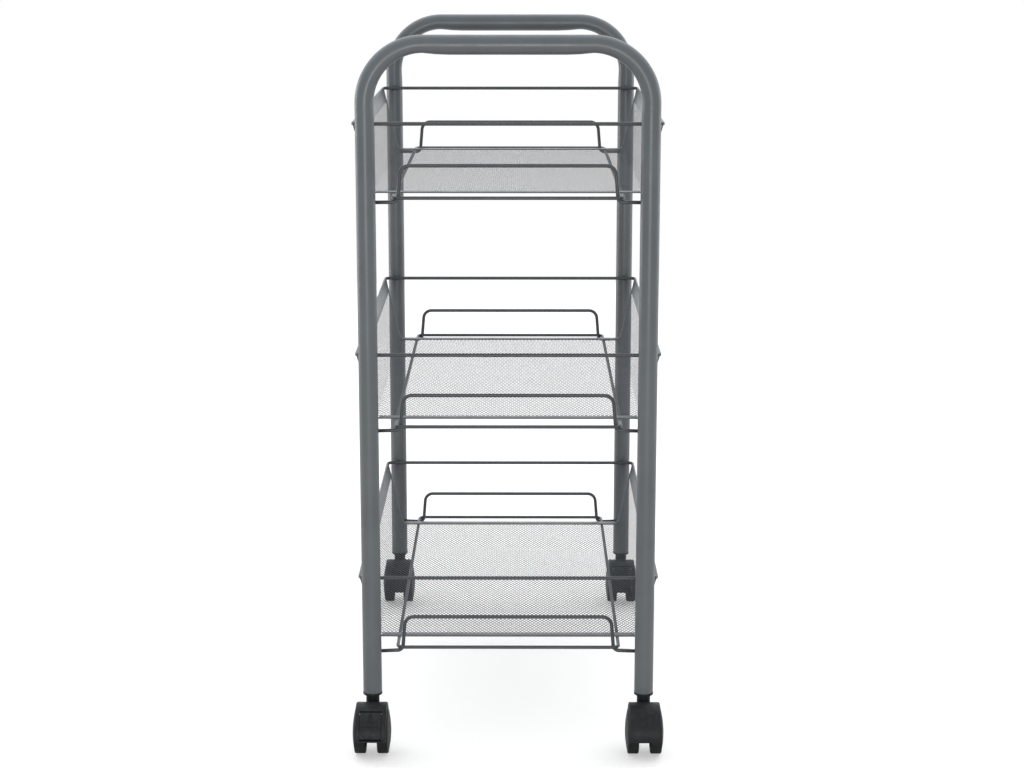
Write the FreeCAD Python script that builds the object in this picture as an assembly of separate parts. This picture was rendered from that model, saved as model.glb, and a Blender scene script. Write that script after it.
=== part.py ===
import FreeCAD, Part
import math
import os

from FreeCAD import Vector

# Three-tier rolling utility cart. Millimetres, +Z up, the floor is Z = 0.
# The cart's long side runs along Y and its front faces -Y. Left is -X.
# The origin is on the floor in the middle of the cart's footprint, which is
# the middle of the four castor axles while the castors trail to the front.

# Overall frame
HEIGHT = 640.0
HOOP_SPAN = 444.0
LEG_SPACING = 245.6
TUBE_R = 8.5
TUBE_WALL = 1.2
HOOP_BEND_R = 50.0
TUBE_END_Z = 51.4

# Baskets
RIM_HEIGHTS = {"top": 563.5, "middle": 360.3, "bottom": 155.5}
RIM_WIRE_R = 1.65
RIM_HALF_WIDTH = 133.9
RIM_CORNER_R = 5.0
WELD_BITE = 0.05
SHEET = 0.6
TRAY_DEPTH = 61.7
TRAY_FLOOR_HALF_WIDTH = 118.0
TRAY_FLOOR_HALF_LENGTH = 192.6
TRAY_TOP_HALF_LENGTH = 209.0
UNDER_WIRE_R = 1.55
UNDER_HALF_WIDTH = 100.0
UNDER_INSET = 4.4
UNDER_CORNER_R = 6.0
GUARD_WIRE_R = 1.65
GUARD_TOP_DROP = 35.8
GUARD_TOP_HALF_WIDTH = 93.0
GUARD_BASE_HALF_WIDTH = 95.6
GUARD_INSET = 7.6
GUARD_CORNER_R = 8.5
GUARD_FOOT_DROP = 67.4
GUARD_FOOT_R = 5.0
GUARD_FOOT_END_INSET = 5.0
GUARD_FOOT_END_X = 118.0

# Castors. Each is drawn with its swivel axis on X = Y = 0, trailing to -Y.
TRAIL = 17.0
WHEEL_R = 20.0
WHEEL_INNER_X = 5.3
WHEEL_RIM_X = 15.2
WHEEL_DOME_X = 17.3
WHEEL_EDGE_R = 1.2
WHEEL_FACE_STEP = 1.6
WHEEL_RECESS_DEPTH = 6.5
DIMPLE_R = 2.5
DIMPLE_DEPTH = 0.6
HUB_R = 7.0
HUB_RECESS_R = 16.0
AXLE_R = 3.0
AXLE_HALF_LENGTH = 13.0
AXLE_CHAMFER = 0.6
AXLE_END_GAP = 0.3
RUNNING_GAP = 0.05
HOOD_R = 26.0
HOOD_INNER_R = 23.3
HOOD_LIP_R = 21.0
HOOD_HALF_WIDTH = 14.0
HOOD_LIP_X = 12.2
HOOD_EDGE_R = 1.2
HOOD_START_DEG = -3.0
HOOD_END_DEG = 180.0
WEB_HALF_WIDTH = 4.9
WEB_R = 10.9
WEB_START_DEG = 67.0
ARM_INNER_R = 5.0
BOSS_R = 6.0
BOSS_TOP_Z = 48.7
NECK_GROOVE_DROPS = (0.7, 3.1)
NECK_GROOVE_WIDTH = 0.6
NECK_GROOVE_DEPTH = 0.4
SKIRT_R = 7.2
SKIRT_BOTTOM_Z = 28.0
SKIRT_TOP_Z = 39.0
SKIRT_CONE = 2.6
WHEEL_CLEARANCE = 0.7
SWIVEL_GAP = 0.6
FLANGE_R = 8.7
FLANGE_CHAMFER = 0.5
SOCKET_TOP_Z = 90.0
STEM_R = 4.0
STEM_BOTTOM_Z = 33.0
STEM_TOP_Z = 84.5
STEM_CHAMFER = 1.0
GRIP_RING_Z = 78.0
GRIP_RING_R = 0.55
GRIP_RING_ORBIT = 4.1
GRIP_RING_SWEEP_DEG = 320.0
GRIP_ROOM_R = 5.1
GRIP_ROOM_GAP = 0.4

# Brake lever on two of the castors. Angles are about the axle, from -Y up.
LEVER_HALF_WIDTH = 9.6
LEVER_INNER_R = 23.6
LEVER_OUTER_R = 25.8
LEVER_START_DEG = 4.0
LEVER_END_DEG = 58.0
LEVER_PIN_R = 0.9
LEVER_PIN_ORBIT = 24.4
LEVER_PIN_END_GAP = 0.2
LEVER_EYE_R = 1.5
LEVER_RIB_DEGS = (16.5, 20.5, 24.5, 28.5)
LEVER_RIB_SPAN_DEG = 2.0
LEVER_RIB_HALF_WIDTH = 9.0
LEVER_RIB_HEIGHT = 0.5
LEVER_RIB_ROOT = 0.5
LEVER_SLOT_DEGS = (36.0, 49.0)
LEVER_SLOT_HALF_WIDTH = 1.9
LEVER_DOT_DEGS = (8.0, 52.0)
LEVER_DOT_R = 1.5
LEVER_MARK_DEPTH = 0.7
CUTOUT_HALF_WIDTH = 9.95
CUTOUT_START_DEG = 0.0
CUTOUT_END_DEG = 62.6

BRAKED = ("front_left", "rear_right")

# How far a cutting shape reaches past the faces that it opens
THROUGH = 1.0

X_AXIS = Vector(1, 0, 0)
Y_AXIS = Vector(0, 1, 0)
Z_AXIS = Vector(0, 0, 1)
LEG_X = LEG_SPACING / 2
HOOP_Y = {"front": TRAIL - HOOP_SPAN / 2, "rear": TRAIL + HOOP_SPAN / 2}
MIDDLE_Y = TRAIL
TUBE_INNER_R = TUBE_R - TUBE_WALL
RIM_INSET = TUBE_R + RIM_WIRE_R - WELD_BITE
AXLE = Vector(0, -TRAIL, WHEEL_R)


def disc(centre, normal, radius):
    return Part.Face(Part.Wire(Part.makeCircle(radius, centre, normal)))


def bend(corner, before, after, radius):
    """Where an arc of this radius leaves and rejoins two runs that meet at a corner."""
    incoming = (corner - before).normalize()
    outgoing = (after - corner).normalize()
    turn = incoming.getAngle(outgoing)
    cut = radius * math.tan(turn / 2)
    start = corner - incoming * cut
    end = corner + outgoing * cut
    axis = incoming.cross(outgoing).normalize()
    centre = start + axis.cross(incoming) * radius
    return start, end, centre, axis, math.degrees(turn)


def rod(points, radii, radius, bore_r=0.0, closed=False):
    """A round bar or tube along straight runs joined by arcs. radii has one for each bent corner."""
    def section(centre, normal):
        face = disc(centre, normal, radius)
        return face.cut(disc(centre, normal, bore_r)) if bore_r else face

    count = len(points)
    corners = range(count) if closed else range(1, count - 1)
    bends = {}
    for i, bend_radius in zip(corners, radii):
        bends[i] = bend(points[i], points[i - 1], points[(i + 1) % count], bend_radius)
    solids = []
    for i in range(count if closed else count - 1):
        j = (i + 1) % count
        start = bends[i][1] if i in bends else points[i]
        end = bends[j][0] if j in bends else points[j]
        solids.append(section(start, end - start).extrude(end - start))
        if j in bends:
            centre, axis, degrees = bends[j][2:]
            solids.append(section(end, end - start).revolve(centre, axis, degrees))
    return solids[0].fuse(solids[1:]).removeSplitter()


def hoop(y):
    """A bent tube: two legs joined by a straight handle bar at the top."""
    bar_z = HEIGHT - TUBE_R
    points = [
        Vector(-LEG_X, y, TUBE_END_Z),
        Vector(-LEG_X, y, bar_z),
        Vector(LEG_X, y, bar_z),
        Vector(LEG_X, y, TUBE_END_Z),
    ]
    return rod(points, [HOOP_BEND_R] * 2, TUBE_R, bore_r=TUBE_INNER_R)


def flat_loop(half_width, half_length, z, corner_r, radius):
    """A closed rectangle of round wire lying flat, with rounded corners."""
    points = [
        Vector(-half_width, MIDDLE_Y - half_length, z),
        Vector(half_width, MIDDLE_Y - half_length, z),
        Vector(half_width, MIDDLE_Y + half_length, z),
        Vector(-half_width, MIDDLE_Y + half_length, z),
    ]
    return rod(points, [corner_r] * 4, radius, closed=True)


def rim_wire(rim_z):
    return flat_loop(RIM_HALF_WIDTH, HOOP_SPAN / 2 - RIM_INSET, rim_z, RIM_CORNER_R, RIM_WIRE_R)


def under_frame(rim_z):
    z = rim_z - TRAY_DEPTH - SHEET / 2 - UNDER_WIRE_R
    return flat_loop(UNDER_HALF_WIDTH, HOOP_SPAN / 2 - UNDER_INSET, z, UNDER_CORNER_R, UNDER_WIRE_R)


def tray(rim_z):
    """One sheet bent into a floor and two outward-leaning sides, open at both ends."""
    floor_z = rim_z - TRAY_DEPTH
    lean = math.atan2(RIM_HALF_WIDTH - TRAY_FLOOR_HALF_WIDTH, TRAY_DEPTH)
    top_x = RIM_HALF_WIDTH - RIM_WIRE_R * math.sin(lean)
    top_z = rim_z - RIM_WIRE_R * math.cos(lean)
    half = Vector(math.cos(lean), 0, -math.sin(lean)) * (SHEET / 2)
    outer_top = Vector(top_x, 0, top_z) + half
    inner_top = Vector(top_x, 0, top_z) - half
    outer_bottom_x = TRAY_FLOOR_HALF_WIDTH + half.x
    outline = [
        Vector(-outer_top.x, 0, outer_top.z),
        Vector(-outer_bottom_x, 0, floor_z - SHEET / 2),
        Vector(outer_bottom_x, 0, floor_z - SHEET / 2),
        outer_top,
        inner_top,
        Vector(TRAY_FLOOR_HALF_WIDTH - half.x, 0, floor_z + SHEET / 2),
        Vector(-TRAY_FLOOR_HALF_WIDTH + half.x, 0, floor_z + SHEET / 2),
        Vector(-inner_top.x, 0, inner_top.z),
    ]
    section = Part.Face(Part.makePolygon(outline + outline[:1]))
    section.translate(Vector(0, MIDDLE_Y - TRAY_TOP_HALF_LENGTH, 0))
    channel = section.extrude(Y_AXIS * (2 * TRAY_TOP_HALF_LENGTH))
    side_outline = [
        Vector(0, MIDDLE_Y - TRAY_FLOOR_HALF_LENGTH, floor_z - SHEET),
        Vector(0, MIDDLE_Y + TRAY_FLOOR_HALF_LENGTH, floor_z - SHEET),
        Vector(0, MIDDLE_Y + TRAY_FLOOR_HALF_LENGTH, floor_z + SHEET),
        Vector(0, MIDDLE_Y + TRAY_TOP_HALF_LENGTH, rim_z),
        Vector(0, MIDDLE_Y - TRAY_TOP_HALF_LENGTH, rim_z),
        Vector(0, MIDDLE_Y - TRAY_FLOOR_HALF_LENGTH, floor_z + SHEET),
    ]
    trim = Part.Face(Part.makePolygon(side_outline + side_outline[:1]))
    trim.translate(X_AXIS * -RIM_HALF_WIDTH)
    return channel.common(trim.extrude(X_AXIS * (2 * RIM_HALF_WIDTH)))


def end_guard(rim_z, end):
    """The raised wire across a basket's open end, with feet that run out to the legs."""
    inward = 1 if end == "front" else -1
    wire_y = HOOP_Y[end] + inward * GUARD_INSET
    foot_y = HOOP_Y[end] + inward * GUARD_FOOT_END_INSET
    top_z = rim_z - GUARD_TOP_DROP
    foot_z = rim_z - GUARD_FOOT_DROP
    right = [
        Vector(GUARD_TOP_HALF_WIDTH, wire_y, top_z),
        Vector(GUARD_BASE_HALF_WIDTH, wire_y, foot_z),
        Vector(GUARD_FOOT_END_X, foot_y, foot_z),
    ]
    left = [Vector(-p.x, p.y, p.z) for p in reversed(right)]
    radii = [GUARD_FOOT_R, GUARD_CORNER_R, GUARD_CORNER_R, GUARD_FOOT_R]
    guard = rod(left + right, radii, GUARD_WIRE_R)
    for leg_x in (-LEG_X, LEG_X):
        guard = guard.cut(Part.makeCylinder(TUBE_R, HEIGHT, Vector(leg_x, HOOP_Y[end], 0)))
    return guard


def around_axle(section, start_deg, end_deg):
    """Turns a section drawn at -Y of the axle about it, up from -Y to the given angles."""
    section.rotate(AXLE, X_AXIS, -start_deg)
    return section.revolve(AXLE, X_AXIS, start_deg - end_deg)


def sector(half_width, inner_r, outer_r, start_deg, end_deg):
    """A curved block about the axle."""
    outline = [
        Vector(-half_width, AXLE.y - inner_r, AXLE.z),
        Vector(half_width, AXLE.y - inner_r, AXLE.z),
        Vector(half_width, AXLE.y - outer_r, AXLE.z),
        Vector(-half_width, AXLE.y - outer_r, AXLE.z),
    ]
    section = Part.Face(Part.makePolygon(outline + outline[:1]))
    return around_axle(section, start_deg, end_deg)


def orbit(radius, degrees):
    """A point at this distance from the axle, at this angle up from -Y."""
    angle = math.radians(degrees)
    return AXLE + Vector(0, -radius * math.cos(angle), radius * math.sin(angle))


def cross_pin(centre, radius, half_length):
    return Part.makeCylinder(radius, 2 * half_length, centre - X_AXIS * half_length, X_AXIS)


def upright(radius, bottom_z, top_z):
    return Part.makeCylinder(radius, top_z - bottom_z, Vector(0, 0, bottom_z))


def ring_cut(radius, floor_r, bottom_z, top_z):
    """What to cut from a round post of this radius for a groove with this floor radius."""
    return upright(radius + THROUGH, bottom_z, top_z).cut(upright(floor_r, bottom_z, top_z))


def socket():
    """The plastic plug in a leg's end, with a bore for the castor's stem and a flange below the leg."""
    flange_z = BOSS_TOP_Z + SWIVEL_GAP
    insert = upright(TUBE_INNER_R - RUNNING_GAP, TUBE_END_Z, SOCKET_TOP_Z)
    flange = upright(FLANGE_R, flange_z, TUBE_END_Z)
    bottom_edge = [edge for edge in flange.Edges if edge.BoundBox.ZMax < TUBE_END_Z]
    flange = flange.makeChamfer(FLANGE_CHAMFER, bottom_edge)
    bore = upright(STEM_R + RUNNING_GAP, flange_z, STEM_TOP_Z + SWIVEL_GAP)
    room_half = GRIP_RING_R + GRIP_ROOM_GAP
    ring_room = upright(GRIP_ROOM_R, GRIP_RING_Z - room_half, GRIP_RING_Z + room_half)
    return insert.fuse(flange).cut(bore).cut(ring_room)


def stem():
    pin = upright(STEM_R, STEM_BOTTOM_Z, STEM_TOP_Z)
    pin = pin.makeChamfer(STEM_CHAMFER, [pin.Edges[0], pin.Edges[2]])
    half = GRIP_RING_R + RUNNING_GAP / 2
    return pin.cut(ring_cut(STEM_R, GRIP_RING_ORBIT - half, GRIP_RING_Z - half, GRIP_RING_Z + half))


def grip_ring():
    """The split spring ring that holds the stem in its socket."""
    start = Vector(GRIP_RING_ORBIT, 0, GRIP_RING_Z)
    centre = Vector(0, 0, GRIP_RING_Z)
    return disc(start, Y_AXIS, GRIP_RING_R).revolve(centre, Z_AXIS, GRIP_RING_SWEEP_DEG)


def hood_section():
    """The hood's wall and its two side lips, as a flat section at -Y of the axle."""
    def at(x, r):
        return Vector(x, AXLE.y - r, AXLE.z)

    edge = HOOD_EDGE_R
    corner = edge * (1 - math.sqrt(0.5))
    x = HOOD_HALF_WIDTH
    right_arc = Part.Arc(at(x, HOOD_R - edge), at(x - corner, HOOD_R - corner), at(x - edge, HOOD_R))
    left_arc = Part.Arc(at(edge - x, HOOD_R), at(corner - x, HOOD_R - corner), at(-x, HOOD_R - edge))
    inside = [
        at(-x, HOOD_R - edge),
        at(-x, HOOD_LIP_R),
        at(-HOOD_LIP_X, HOOD_LIP_R),
        at(-HOOD_LIP_X, HOOD_INNER_R),
        at(HOOD_LIP_X, HOOD_INNER_R),
        at(HOOD_LIP_X, HOOD_LIP_R),
        at(x, HOOD_LIP_R),
        at(x, HOOD_R - edge),
    ]
    edges = Part.makePolygon(inside).Edges
    outside = Part.LineSegment(at(x - edge, HOOD_R), at(edge - x, HOOD_R))
    edges += [right_arc.toShape(), outside.toShape(), left_arc.toShape()]
    return Part.Face(Part.Wire(edges))


def housing(braked):
    """The castor's hood, its web between the wheels and the boss that holds the stem."""
    hood = around_axle(hood_section(), HOOD_START_DEG, HOOD_END_DEG)
    web = cross_pin(AXLE, WEB_R, WEB_HALF_WIDTH)
    arm = sector(WEB_HALF_WIDTH, ARM_INNER_R, (HOOD_INNER_R + HOOD_R) / 2, WEB_START_DEG, HOOD_END_DEG)
    boss = upright(BOSS_R, SKIRT_TOP_Z, BOSS_TOP_Z)
    skirt = upright(SKIRT_R, SKIRT_BOTTOM_Z, SKIRT_TOP_Z)
    cone = Part.makeCone(SKIRT_R, BOSS_R, SKIRT_CONE, Vector(0, 0, SKIRT_TOP_Z))
    neck = boss.fuse([skirt, cone]).cut(cross_pin(AXLE, WHEEL_R + WHEEL_CLEARANCE, HOOD_HALF_WIDTH))
    body = hood.fuse([web, arm, neck])
    for drop in NECK_GROOVE_DROPS:
        top_z = BOSS_TOP_Z - drop
        body = body.cut(ring_cut(BOSS_R, BOSS_R - NECK_GROOVE_DEPTH, top_z - NECK_GROOVE_WIDTH, top_z))
    body = body.cut(upright(STEM_R + RUNNING_GAP / 2, STEM_BOTTOM_Z, BOSS_TOP_Z + THROUGH))
    body = body.cut(cross_pin(AXLE, AXLE_R + RUNNING_GAP / 2, WEB_HALF_WIDTH + THROUGH))
    if braked:
        outer_r = HOOD_R + THROUGH
        window = sector(CUTOUT_HALF_WIDTH, HOOD_LIP_R, outer_r, CUTOUT_START_DEG, CUTOUT_END_DEG)
        body = body.cut(window)
        body = body.cut(cross_pin(lever_pivot(), LEVER_PIN_R + RUNNING_GAP / 2, HOOD_LIP_X))
    return body.removeSplitter()


def wheel():
    """A moulded wheel for the right side: round tread, domed outer face, hollow inner face."""
    inner = WHEEL_INNER_X
    rim = WHEEL_RIM_X
    edge = WHEEL_EDGE_R
    face_r = WHEEL_R - WHEEL_FACE_STEP
    rise = WHEEL_DOME_X - rim
    sphere_r = (face_r**2 + rise**2) / (2 * rise)

    def at(x, r):
        return Vector(x, AXLE.y + r, AXLE.z)

    def on_dome(r):
        return at(WHEEL_DOME_X - sphere_r + math.sqrt(sphere_r**2 - r**2), r)

    corner = edge * (1 - math.sqrt(0.5))
    bore_r = AXLE_R + RUNNING_GAP
    bore_end = AXLE_HALF_LENGTH + AXLE_END_GAP
    dimple_x = WHEEL_DOME_X - DIMPLE_DEPTH
    edges = Part.makePolygon(
        [
            on_dome(DIMPLE_R),
            at(dimple_x, DIMPLE_R),
            at(dimple_x, 0),
            at(bore_end, 0),
            at(bore_end, bore_r),
            at(inner, bore_r),
            at(inner, HUB_R),
            at(inner + WHEEL_RECESS_DEPTH, HUB_R),
            at(inner + WHEEL_RECESS_DEPTH, HUB_RECESS_R),
            at(inner, HUB_RECESS_R),
            at(inner, WHEEL_R - edge),
        ]
    ).Edges
    inner_arc = Part.Arc(
        at(inner, WHEEL_R - edge), at(inner + corner, WHEEL_R - corner), at(inner + edge, WHEEL_R)
    )
    tread = Part.LineSegment(at(inner + edge, WHEEL_R), at(rim - edge, WHEEL_R))
    outer_arc = Part.Arc(
        at(rim - edge, WHEEL_R), at(rim - corner, WHEEL_R - corner), at(rim, WHEEL_R - edge)
    )
    step = Part.LineSegment(at(rim, WHEEL_R - edge), at(rim, face_r))
    dome = Part.Arc(at(rim, face_r), on_dome(face_r / 2), on_dome(DIMPLE_R))
    edges += [piece.toShape() for piece in (inner_arc, tread, outer_arc, step, dome)]
    return Part.Face(Part.Wire(edges)).revolve(AXLE, X_AXIS, 360)


def mirrored(shape):
    return shape.mirror(Vector(0, 0, 0), X_AXIS)


def axle():
    pin = cross_pin(AXLE, AXLE_R, AXLE_HALF_LENGTH)
    return pin.makeChamfer(AXLE_CHAMFER, [pin.Edges[0], pin.Edges[2]])


def lever_pivot():
    return orbit(LEVER_PIN_ORBIT, LEVER_END_DEG)


def brake_lever():
    """A curved plate in the hood's face, hinged at its top edge, with toe ribs, a slot and two dots."""
    plate = sector(LEVER_HALF_WIDTH, LEVER_INNER_R, LEVER_OUTER_R, LEVER_START_DEG, LEVER_END_DEG)
    eye = cross_pin(lever_pivot(), LEVER_EYE_R, LEVER_HALF_WIDTH)
    rib_floor = LEVER_OUTER_R - LEVER_RIB_ROOT
    rib_top = LEVER_OUTER_R + LEVER_RIB_HEIGHT
    ribs = [
        sector(LEVER_RIB_HALF_WIDTH, rib_floor, rib_top, deg, deg + LEVER_RIB_SPAN_DEG)
        for deg in LEVER_RIB_DEGS
    ]
    lever = plate.fuse([eye] + ribs)
    mark_floor = LEVER_OUTER_R - LEVER_MARK_DEPTH
    lever = lever.cut(
        sector(LEVER_SLOT_HALF_WIDTH, mark_floor, LEVER_OUTER_R + THROUGH, *LEVER_SLOT_DEGS)
    )
    for deg in LEVER_DOT_DEGS:
        outward = (orbit(1, deg) - AXLE).normalize()
        depth = LEVER_MARK_DEPTH + THROUGH
        lever = lever.cut(Part.makeCylinder(LEVER_DOT_R, depth, orbit(mark_floor, deg), outward))
    pin_hole = cross_pin(lever_pivot(), LEVER_PIN_R + RUNNING_GAP, LEVER_HALF_WIDTH + THROUGH)
    return lever.cut(pin_hole).removeSplitter()


def brake_pin():
    return cross_pin(lever_pivot(), LEVER_PIN_R, HOOD_LIP_X - LEVER_PIN_END_GAP)


def castor(braked):
    """One castor's pieces by name, drawn at the origin."""
    right_wheel = wheel()
    pieces = {
        "stem": stem(),
        "grip_ring": grip_ring(),
        "housing": housing(braked),
        "axle": axle(),
        "left_wheel": mirrored(right_wheel),
        "right_wheel": right_wheel,
    }
    if braked:
        pieces["brake_lever"] = brake_lever()
        pieces["brake_pin"] = brake_pin()
    return pieces


def build():
    nodes = {"front_hoop": hoop(HOOP_Y["front"]), "rear_hoop": hoop(HOOP_Y["rear"])}
    for tier, rim_z in RIM_HEIGHTS.items():
        nodes[tier + "_tray"] = tray(rim_z)
        nodes[tier + "_rim_wire"] = rim_wire(rim_z)
        nodes[tier + "_under_frame"] = under_frame(rim_z)
        nodes[tier + "_front_guard"] = end_guard(rim_z, "front")
        nodes[tier + "_rear_guard"] = end_guard(rim_z, "rear")
    plain = castor(False)
    with_brake = castor(True)
    plug = socket()
    for end, y in HOOP_Y.items():
        for side, x in (("left", -LEG_X), ("right", LEG_X)):
            corner = end + "_" + side
            place = Vector(x, y, 0)
            nodes[corner + "_socket"] = plug.translated(place)
            pieces = with_brake if corner in BRAKED else plain
            for name, shape in pieces.items():
                nodes[corner + "_castor_" + name] = shape.translated(place)
    return nodes


def main():
    os.makedirs("parts", exist_ok=True)
    for name, shape in build().items():
        if not shape.isValid():
            raise ValueError(name + " is not a valid shape")
        shape.exportStep("parts/" + name + ".step")
        print(name, len(shape.Solids), "solid,", round(shape.Volume), "mm3")


main()
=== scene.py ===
import math

import bmesh
import bpy
import numpy as np
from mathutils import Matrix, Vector


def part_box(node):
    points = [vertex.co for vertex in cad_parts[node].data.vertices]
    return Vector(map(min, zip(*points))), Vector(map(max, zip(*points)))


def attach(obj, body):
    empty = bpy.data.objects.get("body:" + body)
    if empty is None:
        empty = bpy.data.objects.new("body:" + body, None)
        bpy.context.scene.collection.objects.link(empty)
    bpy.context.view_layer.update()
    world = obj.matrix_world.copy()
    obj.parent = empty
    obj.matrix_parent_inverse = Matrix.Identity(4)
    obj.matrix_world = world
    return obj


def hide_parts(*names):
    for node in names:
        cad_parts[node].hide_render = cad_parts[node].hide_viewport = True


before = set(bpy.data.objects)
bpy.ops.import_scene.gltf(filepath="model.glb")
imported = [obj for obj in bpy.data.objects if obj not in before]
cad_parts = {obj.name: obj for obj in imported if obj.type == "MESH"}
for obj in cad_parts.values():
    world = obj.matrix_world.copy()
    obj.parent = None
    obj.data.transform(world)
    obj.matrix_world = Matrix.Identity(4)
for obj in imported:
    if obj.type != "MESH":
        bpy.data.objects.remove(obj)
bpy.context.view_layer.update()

# The looks of the rolling utility cart. Metres, in the CAD model's frame: +Z up, the front faces -Y.

MM = 0.001
TIERS = ("top", "middle", "bottom")
ENDS = ("front", "rear")
CORNERS = [end + "_" + side for end in ENDS for side in ("left", "right")]

# Frame tube. Its inner side is pressed flat in each bend, more at the bar's end than at the leg's.
HOOP_BEND_R = 50 * MM
HOOP_SIDES = 40
HOOP_ARC_STEP_DEG = 4
HOOP_RUN_STEP = 12 * MM
TUBE_WALL = 1.2 * MM
TUBE_LIP = 0.35 * MM
TUBE_BORE_DEPTH = 30 * MM
FLAT_AT_BAR = 1.5 * MM
FLAT_AT_LEG = 0.6 * MM
FLAT_RUN_OUT = 17 * MM
FLAT_FALL_OFF = 1.5

# Wires
WIRE_ARC_STEP_DEG = 9
RIM_CORNER_R = 5 * MM
UNDER_CORNER_R = 6 * MM
GUARD_WIRE_R = 1.65 * MM
GUARD_CORNER_R = 8.5 * MM
GUARD_FOOT_R = 5 * MM
GUARD_TOP_HALF_WIDTH = 93 * MM
GUARD_BASE_HALF_WIDTH = 95.6 * MM
GUARD_INSET = 7.6 * MM
# The direction that the guard's rings are laid out by. It leans a little, so that no wire runs along it.
GUARD_RING_UP = (0, 1, 0.02)

# Weld beads: half sizes along X, Y and Z, and how far each bead sits from the wire it joins
BEAD_ROUGHNESS = 0.14
BEAD_RINGS = 9
BEAD_SEGMENTS = 14
RIM_WELD = (3.4 * MM, 1.25 * MM, 1.1 * MM)
RIM_WELD_IN = 0.3 * MM
RIM_WELD_LIFT = 1.45 * MM
FOOT_WELD = (1.7 * MM, 2.1 * MM, 2.1 * MM)
FOOT_WELD_BACK = 0.4 * MM
CROSSING_WELD = (1.5 * MM, 1.0 * MM, 1.5 * MM)
CROSSING_WELD_BACK = 0.1 * MM

# Expanded mesh of the trays. A cell is one diamond hole with half of the strands round it.
CELL_ACROSS = 3.7 * MM
CELL_ALONG = 7.0 * MM
STRAND_WIDTH = 0.69 * MM
STRAND_THICK = 0.14 * MM
STRAND_TILT = 0.08 * MM
SHEET_LIFT = 0.2 * MM
MESH_TUCK = 2.0 * MM
FOLD_R = 3 * MM
FLOOR_HALF_WIDTH = 118 * MM
FLOOR_HALF_LENGTH = 192.6 * MM
TOP_HALF_LENGTH = 209 * MM
BAND_WIDTH = 12.5 * MM
BAND_THICK = 0.9 * MM
# How far the band stops short of the rim wire's middle, as a share of that wire's radius
BAND_RIM_GAP = 0.6
HEM_THICK = 1.1 * MM
FLOOR_HEM = 10 * MM
FLOOR_HEM_OVERLAP = 0.4 * MM
SIDE_HEM = 2.6 * MM
HEM_POINTS = 9
SIDE_HEM_POINTS = 6
FOLD_STEPS = 6

# The white room's light by where it comes from: a start and an end along Y or Z, and the strength at each
ROOM_FRONT_TO_BACK = (-0.35, 0.5, 0.66, 1.45)
ROOM_BELOW_TO_LEVEL = (-0.3, 0.0, 0.4, 1.0)
ROOM_LEVEL_TO_ABOVE = (0.15, 0.75, 1.0, 1.25)
ROOM_TINT = (0.955, 1.0, 1.04, 1.0)
WHITE = (1.0, 1.0, 1.0, 1.0)

# Soft lights: name, place, width, height and power. They face the cart.
LIGHTS = (
    ("front_softbox", (0.0, -3.2, 0.50), 0.45, 0.8, 20),
    ("left_strip", (-2.3, 0.85, 0.50), 0.4, 1.4, 12),
    ("right_strip", (2.3, 0.85, 0.50), 0.4, 1.4, 6),
)
LIGHTS_AIM = (0, 0, 0.35)

FLOOR_RADIUS = 2.4
FLOOR_DROP = 0.5 * MM
FLOOR_GLOW = 0.42

CAMERA_PLACE = (0.0102, -2.0292, 0.7266)
CAMERA_PITCH_DEG = 12.07
CAMERA_YAW_DEG = 0.21
CAMERA_LENS = 74.6
CAMERA_SENSOR = 36.0

RNG = np.random.default_rng(167)


# ---------------------------------------------------------------- mesh helpers


def new_mesh(name, verts, faces, smooth=True, sharp_deg=None):
    """A mesh object from points and faces. Edges sharper than sharp_deg stay crisp."""
    mesh = bpy.data.meshes.new(name)
    mesh.from_pydata([tuple(v) for v in verts], [], [tuple(f) for f in faces])
    mesh.update()
    obj = bpy.data.objects.new(name, mesh)
    bpy.context.scene.collection.objects.link(obj)
    if smooth:
        mesh.shade_smooth()
        if sharp_deg is not None:
            mesh.set_sharp_from_angle(angle=math.radians(sharp_deg))
    return obj


def outward(obj):
    """Makes every closed shell's faces point out."""
    mesh = bmesh.new()
    mesh.from_mesh(obj.data)
    bmesh.ops.recalc_face_normals(mesh, faces=mesh.faces)
    mesh.to_mesh(obj.data)
    mesh.free()
    return obj


def joined(name, parts, sharp_deg=None):
    """One mesh object made of several (verts, faces) pairs."""
    verts = []
    faces = []
    for part_verts, part_faces in parts:
        base = len(verts)
        verts.extend(part_verts)
        faces.extend([tuple(i + base for i in face) for face in part_faces])
    return outward(new_mesh(name, verts, faces, sharp_deg=sharp_deg))


def fillet_path(corners, radii, step_deg, closed=False):
    """Points along straight runs joined by arcs."""
    corners = [Vector(c) for c in corners]
    count = len(corners)
    points = []
    for i, corner in enumerate(corners):
        if not closed and i in (0, count - 1):
            points.append(corner)
            continue
        before = corners[i - 1]
        after = corners[(i + 1) % count]
        incoming = (corner - before).normalized()
        outgoing = (after - corner).normalized()
        turn = incoming.angle(outgoing)
        radius = radii[i if closed else i - 1]
        start = corner - incoming * (radius * math.tan(turn / 2))
        axis = incoming.cross(outgoing).normalized()
        inward = axis.cross(incoming)
        centre = start + inward * radius
        steps = max(2, math.ceil(math.degrees(turn) / step_deg))
        for k in range(steps + 1):
            angle = turn * k / steps
            arm = incoming * math.sin(angle) - inward * math.cos(angle)
            points.append(centre + arm * radius)
    return points


def refine(points, longest):
    """Splits straight runs so that none is longer than this."""
    out = [points[0]]
    for before, after in zip(points, points[1:]):
        pieces = max(1, math.ceil((after - before).length / longest))
        for k in range(1, pieces + 1):
            out.append(before.lerp(after, k / pieces))
    return out


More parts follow.
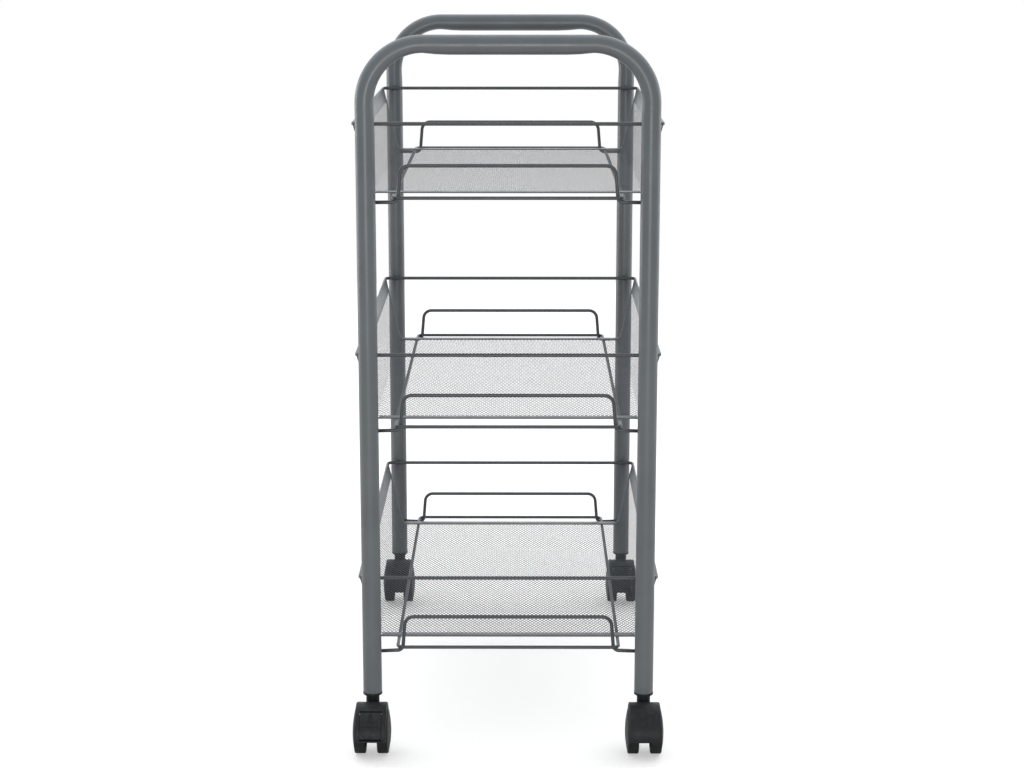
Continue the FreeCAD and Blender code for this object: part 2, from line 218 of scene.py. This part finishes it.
def rings_along(points, closed, up):
    """A side and an up direction at each point of a path, square to the path."""
    count = len(points)
    frames = []
    for i, point in enumerate(points):
        before = points[(i - 1) % count] if closed or i else point
        after = points[(i + 1) % count] if closed or i < count - 1 else point
        tangent = (after - before).normalized()
        reference = up(point) if callable(up) else Vector(up)
        side = tangent.cross(reference)
        if side.length < 1e-6:
            side = tangent.cross(Vector((0.3, 0.5, 0.8)))
        side.normalize()
        frames.append((side, side.cross(tangent).normalized()))
    return frames


def sweep(points, profile, closed=False, up=(0, 0, 1), shape=None):
    """Verts and faces of a profile swept along a path. shape may change a ring's (side, up) pairs."""
    frames = rings_along(points, closed, up)
    size = len(profile)
    verts = []
    for i, (point, (side, over)) in enumerate(zip(points, frames)):
        ring = shape(i, profile) if shape else profile
        verts.extend([point + side * x + over * y for x, y in ring])
    count = len(points)
    faces = []
    for i in range(count if closed else count - 1):
        a = i * size
        b = ((i + 1) % count) * size
        for k in range(size):
            m = (k + 1) % size
            faces.append((a + k, a + m, b + m, b + k))
    if not closed:
        faces.append(tuple(reversed(range(size))))
        faces.append(tuple(range((count - 1) * size, count * size)))
    return verts, faces


def circle(radius, segments=20):
    """A round section."""
    turns = [2 * math.pi * k / segments for k in range(segments)]
    return [(radius * math.cos(a), radius * math.sin(a)) for a in turns]


def rounded_bar(width, thick, segments=4):
    """A flat bar's section with half-round edges."""
    r = thick / 2
    points = []
    for sign in (1, -1):
        for k in range(segments + 1):
            a = math.pi * (k / segments - 0.5)
            points.append((sign * (width / 2 - r + r * math.cos(a)), sign * r * math.sin(a)))
    return points


def bead(centre, half_sizes):
    """Verts and faces of a weld bead: an uneven flattened blob."""
    rings = BEAD_RINGS
    segments = BEAD_SEGMENTS
    phase = RNG.uniform(0, 2 * math.pi, 3)
    verts = []
    for i in range(rings + 1):
        polar = math.pi * i / rings
        for k in range(segments if 0 < i < rings else 1):
            turn = 2 * math.pi * k / segments
            wave = math.sin(3 * turn + phase[0]) * math.sin(polar)
            wave += 0.6 * math.sin(5 * turn + 4 * polar + phase[1]) * math.sin(polar)
            across = math.sin(polar) * (1 + BEAD_ROUGHNESS * wave)
            local = (across * math.cos(turn), across * math.sin(turn), math.cos(polar))
            verts.append(Vector([c + amount * half for c, amount, half in zip(centre, local, half_sizes)]))

    def index(i, k):
        if i == 0:
            return 0
        if i == rings:
            return len(verts) - 1
        return 1 + (i - 1) * segments + k % segments

    faces = []
    for i in range(rings):
        for k in range(segments):
            corners = (index(i, k), index(i, k + 1), index(i + 1, k + 1), index(i + 1, k))
            faces.append(tuple(dict.fromkeys(corners)))
    return verts, faces


# ------------------------------------------------------------------- materials


class Nodes:
    """A material's node tree, with short calls for what the finishes share."""

    def __init__(self, name):
        self.material = bpy.data.materials.new(name)
        self.material.use_nodes = True
        self.tree = self.material.node_tree
        self.shader = self.tree.nodes["Principled BSDF"]
        self.coords = self.tree.nodes.new("ShaderNodeTexCoord").outputs["Object"]

    def node(self, kind, inputs=None, **settings):
        made = self.tree.nodes.new(kind)
        for key, value in settings.items():
            setattr(made, key, value)
        for key, value in (inputs or {}).items():
            self.feed(made.inputs[key], value)
        return made

    def feed(self, socket, value):
        if isinstance(value, bpy.types.NodeSocket):
            self.tree.links.new(value, socket)
        else:
            socket.default_value = value

    def noise(self, size, detail=3.0, rough=0.55):
        """Noise whose features are about this size, in metres."""
        inputs = {"Vector": self.coords, "Scale": 1 / size, "Detail": detail, "Roughness": rough}
        return self.node("ShaderNodeTexNoise", inputs).outputs["Fac"]

    def ramp(self, value, low, high, out_low=0.0, out_high=1.0):
        inputs = {"Value": value, "From Min": low, "From Max": high, "To Min": out_low, "To Max": out_high}
        return self.node("ShaderNodeMapRange", inputs).outputs["Result"]

    def maths(self, operation, a, b):
        return self.node("ShaderNodeMath", {0: a, 1: b}, operation=operation).outputs[0]

    def mix(self, factor, a, b):
        """A colour between two others."""
        made = self.tree.nodes.new("ShaderNodeMix")
        made.data_type = "RGBA"
        self.feed(made.inputs["Factor"], factor)
        self.feed(made.inputs["A"], a)
        self.feed(made.inputs["B"], b)
        return made.outputs["Result"]

    def bump(self, height, distance, strength=1.0, under=None):
        inputs = {"Height": height, "Distance": distance, "Strength": strength}
        if under is not None:
            inputs["Normal"] = under
        return self.node("ShaderNodeBump", inputs).outputs["Normal"]

    def edges(self, low=0.52, high=0.6):
        """1 on sharp outer edges."""
        sharp = self.node("ShaderNodeNewGeometry").outputs["Pointiness"]
        return self.ramp(sharp, low, high)

    def facing_up(self, low=0.6, high=0.98):
        """1 where a surface looks up, which is where dust lies."""
        normal = self.node("ShaderNodeNewGeometry").outputs["Normal"]
        height = self.node("ShaderNodeSeparateXYZ", {"Vector": normal}).outputs["Z"]
        return self.ramp(height, low, high)


def rgba(level, tint=(1.0, 1.0, 1.0)):
    """A colour from its brightness and its tint."""
    return (level * tint[0], level * tint[1], level * tint[2], 1.0)


def powder_coat(name, level, gloss=1.0, peel=1.0, dusty=1.0):
    """Grey powder coat: fine orange peel, slight cloudiness, thin dust on top, and paler edges that are
    partly worn paint and partly a painted edge highlight.
    """
    n = Nodes(name)
    cool = (0.92, 1.01, 1.07)
    cloud = n.ramp(n.noise(45 * MM), 0.35, 0.65)
    colour = n.mix(cloud, rgba(level * 0.93, cool), rgba(level * 1.07, cool))
    speck = n.ramp(n.noise(0.35 * MM, detail=1.0), 0.60, 0.75)
    colour = n.mix(n.maths("MULTIPLY", speck, 0.35), colour, rgba(level * 1.6, cool))
    dust = n.maths("MULTIPLY", n.facing_up(), n.ramp(n.noise(9 * MM), 0.45, 0.75, 0.0, 0.12 * dusty))
    colour = n.mix(dust, colour, rgba(0.42, (1.0, 0.98, 0.95)))
    # Paler sharp edges: partly worn paint, partly a painted highlight along the edges.
    wear = n.maths("MULTIPLY", n.edges(), n.ramp(n.noise(3 * MM), 0.45, 0.62, 0.0, 0.35))
    colour = n.mix(wear, colour, rgba(level * 1.9, cool))
    n.feed(n.shader.inputs["Base Color"], colour)
    rough = n.ramp(n.noise(14 * MM), 0.3, 0.7, 0.31 / gloss, 0.39 / gloss)
    n.feed(n.shader.inputs["Roughness"], n.maths("ADD", rough, n.maths("MULTIPLY", dust, 1.2)))
    peel_bump = n.bump(n.noise(1.3 * MM, detail=2.0), 0.035 * MM * peel)
    fine_bump = n.bump(n.noise(0.32 * MM, detail=1.0), 0.008 * MM * peel, under=peel_bump)
    n.feed(n.shader.inputs["Normal"], fine_bump)
    n.shader.inputs["Specular IOR Level"].default_value = 0.5 * gloss**2
    return n.material


def moulded_plastic(name, level, rough_low, rough_high, grain=1.0, scuffs=0.0):
    """Near-black moulded plastic: spark-eroded grain, softer gloss patches and, on wheels, scuffs."""
    n = Nodes(name)
    cool = (0.94, 1.0, 1.06)
    cloud = n.ramp(n.noise(12 * MM), 0.35, 0.65)
    colour = n.mix(cloud, rgba(level * 0.85, cool), rgba(level * 1.2, cool))
    wear = n.maths("MULTIPLY", n.edges(0.53, 0.62), n.ramp(n.noise(1.6 * MM), 0.42, 0.6, 0.0, 0.3))
    colour = n.mix(wear, colour, rgba(level * 3.2))
    dust = n.maths("MULTIPLY", n.facing_up(0.4, 0.95), n.ramp(n.noise(4 * MM), 0.45, 0.75, 0.0, 0.05))
    colour = n.mix(dust, colour, rgba(0.3, (1.0, 0.97, 0.92)))
    if scuffs:
        stretched = n.node("ShaderNodeMapping", {"Vector": n.coords, "Scale": (1.0, 6.0, 6.0)})
        inputs = {"Vector": stretched.outputs[0], "Scale": 1 / (5 * MM), "Detail": 4.0}
        lines = n.node("ShaderNodeTexNoise", inputs).outputs["Fac"]
        colour = n.mix(n.ramp(lines, 0.6, 0.72, 0.0, scuffs), colour, rgba(level * 4.0, (1.0, 0.97, 0.93)))
    n.feed(n.shader.inputs["Base Color"], colour)
    n.feed(n.shader.inputs["Roughness"], n.ramp(n.noise(5 * MM), 0.3, 0.7, rough_low, rough_high))
    grain_bump = n.bump(n.noise(0.45 * MM, detail=2.0), 0.03 * MM * grain)
    n.feed(n.shader.inputs["Normal"], grain_bump)
    n.shader.inputs["Specular IOR Level"].default_value = 0.22
    return n.material


def zinc(name):
    """Bright zinc plate with faint turning lines."""
    n = Nodes(name)
    stretched = n.node("ShaderNodeMapping", {"Vector": n.coords, "Scale": (0.2, 0.2, 6.0)})
    inputs = {"Vector": stretched.outputs[0], "Scale": 1 / (2 * MM), "Detail": 3.0}
    lines = n.node("ShaderNodeTexNoise", inputs).outputs["Fac"]
    cloud = n.ramp(n.noise(2.5 * MM), 0.3, 0.7)
    n.feed(n.shader.inputs["Base Color"], n.mix(cloud, rgba(0.46), rgba(0.56, (0.98, 1.0, 1.03))))
    n.feed(n.shader.inputs["Roughness"], n.ramp(lines, 0.3, 0.7, 0.26, 0.42))
    n.feed(n.shader.inputs["Normal"], n.bump(lines, 0.01 * MM))
    n.shader.inputs["Metallic"].default_value = 1.0
    return n.material


def pale_floor():
    """A pale floor that glows faintly to the eye, as a lit sweep does, so the cart's shadow stays light."""
    n = Nodes("studio_floor")
    cloud = n.ramp(n.noise(0.6), 0.3, 0.7)
    warm = (1.04, 1.0, 0.965)
    n.feed(n.shader.inputs["Base Color"], n.mix(cloud, rgba(0.62, warm), rgba(0.64, warm)))
    n.feed(n.shader.inputs["Roughness"], n.ramp(n.noise(0.1), 0.3, 0.7, 0.7, 0.8))
    n.shader.inputs["Emission Color"].default_value = WHITE
    seen = n.node("ShaderNodeLightPath").outputs["Is Camera Ray"]
    n.feed(n.shader.inputs["Emission Strength"], n.maths("MULTIPLY", seen, FLOOR_GLOW))
    return n.material


FRAME_COAT = powder_coat("frame_coat", 0.117)
WIRE_COAT = powder_coat("wire_coat", 0.052, peel=0.6)
MESH_COAT = powder_coat("mesh_coat", 0.085, gloss=0.55, peel=0.3, dusty=0.1)
HEM_COAT = powder_coat("hem_coat", 0.10, gloss=0.9, peel=0.6, dusty=0.3)
CASTOR_PLASTIC = moulded_plastic("castor_plastic", 0.013, 0.42, 0.55)
WHEEL_PLASTIC = moulded_plastic("wheel_plastic", 0.012, 0.38, 0.5, grain=0.5, scuffs=0.5)
STEEL = zinc("steel")


def dress(obj, material, body, slot, *nodes):
    """Gives a piece its finish and its body, and hides the CAD nodes it stands for."""
    obj.data.materials.append(material)
    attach(obj, body)
    if nodes:
        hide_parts(*nodes)
    return obj


# --------------------------------------------------------------------- the tubes


def hoop(end):
    """A bent tube with open leg ends. Its inner side is pressed a little flat through each bend."""
    node = end + "_hoop"
    low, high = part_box(node)
    tube_r = (high.y - low.y) / 2
    y = (high.y + low.y) / 2
    leg_x = high.x - tube_r
    bar_z = high.z - tube_r
    corners = [(-leg_x, y, low.z), (-leg_x, y, bar_z), (leg_x, y, bar_z), (leg_x, y, low.z)]
    points = refine(fillet_path(corners, [HOOP_BEND_R] * 2, HOOP_ARC_STEP_DEG), HOOP_RUN_STEP)
    bend_x = leg_x - HOOP_BEND_R
    bend_z = bar_z - HOOP_BEND_R

    def flatness(point):
        """How far the inner wall is pressed in, by where the point is on the hoop."""
        x, z = abs(point.x), point.z
        if z < bend_z - FLAT_RUN_OUT or x < bend_x - FLAT_RUN_OUT:
            return 0.0
        if z < bend_z:
            return FLAT_AT_LEG * ease(1 - (bend_z - z) / FLAT_RUN_OUT)
        if x < bend_x:
            return FLAT_AT_BAR * ease(1 - (bend_x - x) / FLAT_RUN_OUT)
        share = math.atan2(z - bend_z, max(1e-9, x - bend_x)) / (math.pi / 2)
        return FLAT_AT_LEG + (FLAT_AT_BAR - FLAT_AT_LEG) * ease(share)

    def squeezed(i, profile):
        """The ring's section with its inner wall pressed in."""
        depth = flatness(points[i])
        if not depth:
            return profile
        side_in = inner_sign(points, i)
        press = side_in * depth
        return [(x - press * max(0.0, side_in * x / tube_r) ** FLAT_FALL_OFF, z) for x, z in profile]

    solid = sweep(points, circle(tube_r, HOOP_SIDES), up=(0, 1, 0), shape=squeezed)
    return tube_with_open_ends(node + "_tube", points, tube_r, solid)


def ease(t):
    """A smooth step from 0 to 1."""
    t = min(1.0, max(0.0, t))
    return t * t * (3 - 2 * t)


def inner_sign(points, i):
    """1 or -1: which way the profile's side direction points to the hoop's inside."""
    tangent = (points[min(i + 1, len(points) - 1)] - points[max(i - 1, 0)]).normalized()
    side = tangent.cross(Vector((0, 1, 0)))
    centre = Vector((0, points[i].y, points[0].z))
    return 1 if side.dot(centre - points[i]) > 0 else -1


def tube_with_open_ends(name, points, tube_r, solid):
    """Turns a solid sweep into a tube whose two ends are open for a short way, as one closed shell."""
    verts, faces = solid
    size = HOOP_SIDES
    faces = faces[:-2]
    bore_r = tube_r - TUBE_WALL
    lip = TUBE_LIP
    bore = ((tube_r - lip, 0.0), (bore_r + lip / 2, 0.0), (bore_r, lip), (bore_r, TUBE_BORE_DEPTH))
    for ring, direction in ((0, 1), (len(points) - 1, -1)):
        base = ring * size
        along = (points[ring + direction] - points[ring]).normalized()
        centre = points[ring]
        start = len(verts)
        for radius, depth in bore:
            for k in range(size):
                arm = (verts[base + k] - centre).normalized()
                verts.append(centre + arm * radius + along * depth)
        rows = [base] + [start + r * size for r in range(len(bore))]
        for k in range(size):
            verts[base + k] = verts[base + k] + along * lip
        for a, b in zip(rows, rows[1:]):
            for k in range(size):
                m = (k + 1) % size
                faces.append((a + k, a + m, b + m, b + k))
        faces.append(tuple(rows[-1] + k for k in range(size)))
    return outward(new_mesh(name, verts, faces, sharp_deg=40))


for end in ENDS:
    dress(hoop(end), FRAME_COAT, "frame", "frame_coat", end + "_hoop")


# --------------------------------------------------------------------- the wires


def loop_corners(node):
    """A flat wire loop's wire radius and its centreline's corners, from its CAD box."""
    low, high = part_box(node)
    r = (high.z - low.z) / 2
    z = (high.z + low.z) / 2
    x0, x1 = low.x + r, high.x - r
    y0, y1 = low.y + r, high.y - r
    return r, [Vector((x0, y0, z)), Vector((x1, y0, z)), Vector((x1, y1, z)), Vector((x0, y1, z))]


def wire_loop(node, corner_r):
    """Verts and faces of a closed wire loop with round corners."""
    r, corners = loop_corners(node)
    points = fillet_path(corners, [corner_r] * 4, WIRE_ARC_STEP_DEG, closed=True)
    return sweep(points, circle(r), closed=True)


def guard_path(tier, end):
    """The guard wire's centreline. Its feet bend outward to the legs."""
    low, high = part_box(tier + "_" + end + "_guard")
    hoop_low, hoop_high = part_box(end + "_hoop")
    hoop_y = (hoop_low.y + hoop_high.y) / 2
    inward = 1 if end == "front" else -1
    r = GUARD_WIRE_R
    wire_y = hoop_y + inward * GUARD_INSET
    foot_y = (low.y if inward > 0 else high.y) + inward * r
    top_z, foot_z = high.z - r, low.z + r
    right = [
        Vector((GUARD_TOP_HALF_WIDTH, wire_y, top_z)),
        Vector((GUARD_BASE_HALF_WIDTH, wire_y, foot_z)),
        Vector((high.x, foot_y, foot_z)),
    ]
    left = [Vector((-p.x, p.y, p.z)) for p in reversed(right)]
    return left + right


def end_guard(tier, end):
    """Verts and faces of a guard wire, with arcs at its four bends."""
    corners = guard_path(tier, end)
    radii = [GUARD_FOOT_R, GUARD_CORNER_R, GUARD_CORNER_R, GUARD_FOOT_R]
    points = fillet_path(corners, radii, WIRE_ARC_STEP_DEG)
    return sweep(points, circle(GUARD_WIRE_R), up=GUARD_RING_UP)


def basket_welds(tier):
    """Weld beads where this basket's wires meet the legs and each other."""
    _, rim = loop_corners(tier + "_rim_wire")
    _, under = loop_corners(tier + "_under_frame")
    parts = []
    for end, inward in (("front", 1), ("rear", -1)):
        low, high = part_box(end + "_hoop")
        tube_r = (high.y - low.y) / 2
        leg_x = high.x - tube_r
        hoop_y = (low.y + high.y) / 2
        guard = guard_path(tier, end)
        for side in (-1, 1):
            contact = Vector((side * leg_x, hoop_y + inward * tube_r, rim[0].z))
            for lift in (-1, 1):
                centre = contact + Vector((0, inward * RIM_WELD_IN, lift * RIM_WELD_LIFT))
                parts.append(bead(centre, RIM_WELD))
            foot = guard[-1] if side > 0 else guard[0]
            parts.append(bead((foot.x - side * FOOT_WELD_BACK, foot.y, foot.z), FOOT_WELD))
            upright = guard[-2] if side > 0 else guard[1]
            cross_y = (upright.y + (under[0].y if inward > 0 else under[2].y)) / 2
            crossing = (upright.x - side * CROSSING_WELD_BACK, cross_y, under[0].z)
            parts.append(bead(crossing, CROSSING_WELD))
    return joined(tier + "_welds", parts)


for tier in TIERS:
    rim = joined(tier + "_rim_wire_round", [wire_loop(tier + "_rim_wire", RIM_CORNER_R)])
    dress(rim, WIRE_COAT, "frame", "wire_coat", tier + "_rim_wire")
    under = joined(tier + "_under_frame_round", [wire_loop(tier + "_under_frame", UNDER_CORNER_R)])
    dress(under, WIRE_COAT, "frame", "wire_coat", tier + "_under_frame")
    for end in ENDS:
        guard = joined(tier + "_" + end + "_guard_round", [end_guard(tier, end)])
        dress(guard, WIRE_COAT, "frame", "wire_coat", tier + "_" + end + "_guard")
    dress(basket_welds(tier), WIRE_COAT, "frame", "wire_coat")


# --------------------------------------------------------------------- the trays


class Section:
    """A tray's bent section. s is the distance along the sheet from its middle, and t is along Y."""

    def __init__(self, tier):
        low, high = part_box(tier + "_tray")
        self.rim_r, rim = loop_corners(tier + "_rim_wire")
        self.middle_y = (low.y + high.y) / 2
        self.floor_z = low.z + STRAND_THICK / 2 + SHEET_LIFT
        rise = rim[1].z - self.floor_z
        spread = rim[1].x - FLOOR_HALF_WIDTH
        self.turn = math.atan2(rise, spread)
        cut = FOLD_R * math.tan(self.turn / 2)
        self.flat = FLOOR_HALF_WIDTH - cut
        self.arc = FOLD_R * self.turn
        self.side = math.hypot(spread, rise) - cut
        self.end = self.flat + self.arc + self.side

    def at(self, s):
        """(x, z) and the sheet's normal, which points into the basket, at this distance."""
        sign = -1.0 if s < 0 else 1.0
        d = abs(s)
        if d <= self.flat:
            return s, self.floor_z, 0.0, 1.0
        if d <= self.flat + self.arc:
            angle = (d - self.flat) / FOLD_R
        else:
            angle = self.turn
        x = self.flat + FOLD_R * math.sin(angle)
        z = self.floor_z + FOLD_R * (1 - math.cos(angle))
        beyond = max(0.0, d - self.flat - self.arc)
        x += beyond * math.cos(angle)
        z += beyond * math.sin(angle)
        return sign * x, z, -sign * math.sin(angle), math.cos(angle)

    def point(self, s, t, lift=0.0):
        """A point of the sheet, or one this far above it."""
        x, z, nx, nz = self.at(s)
        return Vector((x + nx * lift, self.middle_y + t, z + nz * lift))

    def normal(self, s):
        _, _, nx, nz = self.at(s)
        return Vector((nx, 0, nz))

    def half_length(self, s):
        """How far the sheet reaches along Y: its side edges slant out towards the rim."""
        up = max(0.0, abs(s) - self.flat - self.arc / 2) / (self.side + self.arc / 2)
        return FLOOR_HALF_LENGTH + (TOP_HALF_LENGTH - FLOOR_HALF_LENGTH) * up


def expanded_mesh(name, section):
    """The tray's sheet of diamond holes: bonds where four strands meet, and the strands between them."""
    s_limit = section.end - section.rim_r - BAND_WIDTH + MESH_TUCK
    columns = int(s_limit / (CELL_ACROSS / 2)) + 1
    rows = int(TOP_HALF_LENGTH / (CELL_ALONG / 2)) + 2
    slant = math.hypot(CELL_ACROSS, CELL_ALONG)
    dx = STRAND_WIDTH * slant / (2 * CELL_ALONG)
    dy = STRAND_WIDTH * slant / (2 * CELL_ACROSS)
    half = STRAND_THICK / 2
    verts = []
    where = {}
    for i in range(-columns, columns + 1):
        s = max(-s_limit, min(s_limit, i * CELL_ACROSS / 2))
        reach = section.half_length(s) - MESH_TUCK
        for j in range(-rows, rows + 1):
            t = j * CELL_ALONG / 2
            if (i + j) % 2 == 0 or abs(t) >= reach + CELL_ALONG / 2:
                continue
            t = max(-reach, min(reach, t))
            where[i, j] = len(verts)
            for ds, dt, lift in (
                (dx, 0, 0),
                (0, dy, STRAND_TILT),
                (-dx, 0, 0),
                (0, -dy, -STRAND_TILT),
                (0, 0, half),
                (0, 0, -half),
            ):
                verts.append(section.point(s + ds, t + dt, lift))
    faces = []
    right, ahead, left, back, over, under = range(6)
    steps = {(1, 1): (right, ahead), (-1, 1): (ahead, left), (-1, -1): (left, back), (1, -1): (back, right)}
    for (i, j), a in where.items():
        for (di, dj), (first, second) in steps.items():
            b = where.get((i + di, j + dj))
            if b is None:
                faces.append((a + over, a + first, a + second))
                faces.append((a + under, a + second, a + first))
            elif di > 0:
                far_first, far_second = steps[-di, -dj]
                faces.append((a + over, a + first, b + far_second, b + over))
                faces.append((a + over, b + over, b + far_first, a + second))
                faces.append((a + under, b + under, b + far_second, a + first))
                faces.append((a + under, a + second, b + far_first, b + under))
    return new_mesh(name, verts, faces)


def tray_hems(name, section):
    """The tray's solid edges: a band under the rim wire, and folded hems along the ends."""
    parts = []
    band_low = section.end - section.rim_r - BAND_WIDTH
    band_high = section.end - section.rim_r * BAND_RIM_GAP
    fold_end = section.flat + section.arc
    for sign in (-1, 1):
        s = sign * (band_low + band_high) / 2
        reach = section.half_length(s)
        band = [section.point(s, t) for t in np.linspace(-reach, reach, HEM_POINTS)]
        parts.append(sweep(band, rounded_bar(band_high - band_low, BAND_THICK), up=section.normal(s)))
        for end in (-1, 1):
            edge = [section.flat + section.arc * k / FOLD_STEPS for k in range(FOLD_STEPS)]
            edge += list(np.linspace(fold_end, section.end - section.rim_r, SIDE_HEM_POINTS))
            slant = [section.point(sign * d, end * (section.half_length(d) - SIDE_HEM / 2)) for d in edge]
            normals = {tuple(p): section.normal(sign * d) for p, d in zip(slant, edge)}
            hem_section = rounded_bar(SIDE_HEM, HEM_THICK)
            parts.append(sweep(slant, hem_section, up=lambda p, n=normals: n[tuple(p)]))
    half_width = section.flat + FLOOR_HEM_OVERLAP
    for end in (-1, 1):
        t = end * (FLOOR_HALF_LENGTH - FLOOR_HEM / 2)
        hem = [section.point(s, t) for s in np.linspace(-half_width, half_width, HEM_POINTS)]
        parts.append(sweep(hem, rounded_bar(FLOOR_HEM, HEM_THICK), up=(0, 0, 1)))
    return joined(name, parts, sharp_deg=50)


for tier in TIERS:
    section = Section(tier)
    sheet = expanded_mesh(tier + "_tray_mesh", section)
    dress(sheet, MESH_COAT, "frame", "mesh_coat", tier + "_tray")
    hems = tray_hems(tier + "_tray_hems", section)
    dress(hems, HEM_COAT, "frame", "mesh_coat")


# ------------------------------------------------------------------- the castors

NODE_FINISH = {
    "socket": CASTOR_PLASTIC,
    "castor_housing": CASTOR_PLASTIC,
    "castor_brake_lever": CASTOR_PLASTIC,
    "castor_left_wheel": WHEEL_PLASTIC,
    "castor_right_wheel": WHEEL_PLASTIC,
    "castor_stem": STEEL,
    "castor_grip_ring": STEEL,
    "castor_axle": STEEL,
    "castor_brake_pin": STEEL,
}
for corner in CORNERS:
    for piece, material in NODE_FINISH.items():
        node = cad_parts.get(corner + "_" + piece)
        if node:
            node.data.materials.clear()
            node.data.materials.append(material)


# ------------------------------------------------------------ floor, light, camera


def studio_floor():
    """A round pale floor, wide enough for the cart's soft shadow."""
    rim = [(x, y, 0) for x, y in circle(FLOOR_RADIUS, 96)]
    floor = new_mesh("studio_floor", rim, [tuple(range(len(rim)))], smooth=False)
    floor.location.z = -FLOOR_DROP
    floor.data.materials.append(pale_floor())


def softbox(name, place, width, height, power):
    """A soft rectangular light that faces the cart and isn't seen itself."""
    light = bpy.data.lights.new(name, "AREA")
    light.shape = "RECTANGLE"
    light.size = width
    light.size_y = height
    light.energy = power
    obj = bpy.data.objects.new(name, light)
    obj.location = place
    obj.rotation_euler = (Vector(LIGHTS_AIM) - Vector(place)).to_track_quat("-Z", "Y").to_euler()
    obj.visible_camera = False
    bpy.context.scene.collection.objects.link(obj)


def studio_light():
    """A white room: brighter behind the cart than in front of it, dim below, and seen as plain white."""
    world = bpy.data.worlds.new("studio")
    bpy.context.scene.world = world
    world.use_nodes = True
    tree = world.node_tree
    background = tree.nodes["Background"]
    eye = tree.nodes.new("ShaderNodeLightPath").outputs["Is Camera Ray"]
    direction = tree.nodes.new("ShaderNodeSeparateXYZ")
    tree.links.new(tree.nodes.new("ShaderNodeTexCoord").outputs["Generated"], direction.inputs[0])

    def fade(axis, start, end, low, high):
        """The light's strength, which changes smoothly along one axis of the direction."""
        made = tree.nodes.new("ShaderNodeMapRange")
        made.interpolation_type = "SMOOTHSTEP"
        for key, value in (("From Min", start), ("From Max", end), ("To Min", low), ("To Max", high)):
            made.inputs[key].default_value = value
        tree.links.new(direction.outputs[axis], made.inputs["Value"])
        return made.outputs["Result"]

    def product(first, second):
        made = tree.nodes.new("ShaderNodeMath")
        made.operation = "MULTIPLY"
        tree.links.new(first, made.inputs[0])
        tree.links.new(second, made.inputs[1])
        return made.outputs[0]

    def unless_seen(kind, seen_value, socket):
        """Feeds the socket through a mix that gives the seen value to the camera. Returns the mix."""
        made = tree.nodes.new("ShaderNodeMix")
        made.data_type = kind
        tree.links.new(eye, made.inputs["Factor"])
        made.inputs["B"].default_value = seen_value
        tree.links.new(made.outputs["Result"], socket)
        return made

    room = product(fade("Y", *ROOM_FRONT_TO_BACK), fade("Z", *ROOM_BELOW_TO_LEVEL))
    room = product(room, fade("Z", *ROOM_LEVEL_TO_ABOVE))
    tree.links.new(room, unless_seen("FLOAT", 1.0, background.inputs["Strength"]).inputs["A"])
    unless_seen("RGBA", WHITE, background.inputs["Color"]).inputs["A"].default_value = ROOM_TINT
    for light in LIGHTS:
        softbox(*light)


def camera():
    """The camera stands in front, above the handle, and looks down at the cart's middle."""
    data = bpy.data.cameras.new("camera")
    data.sensor_width = CAMERA_SENSOR
    data.lens = CAMERA_LENS
    obj = bpy.data.objects.new("camera", data)
    obj.location = CAMERA_PLACE
    obj.rotation_euler = (math.radians(90 - CAMERA_PITCH_DEG), 0, math.radians(CAMERA_YAW_DEG))
    bpy.context.scene.collection.objects.link(obj)
    bpy.context.scene.camera = obj


studio_floor()
studio_light()
camera()
bpy.context.scene.view_settings.view_transform = "Standard"
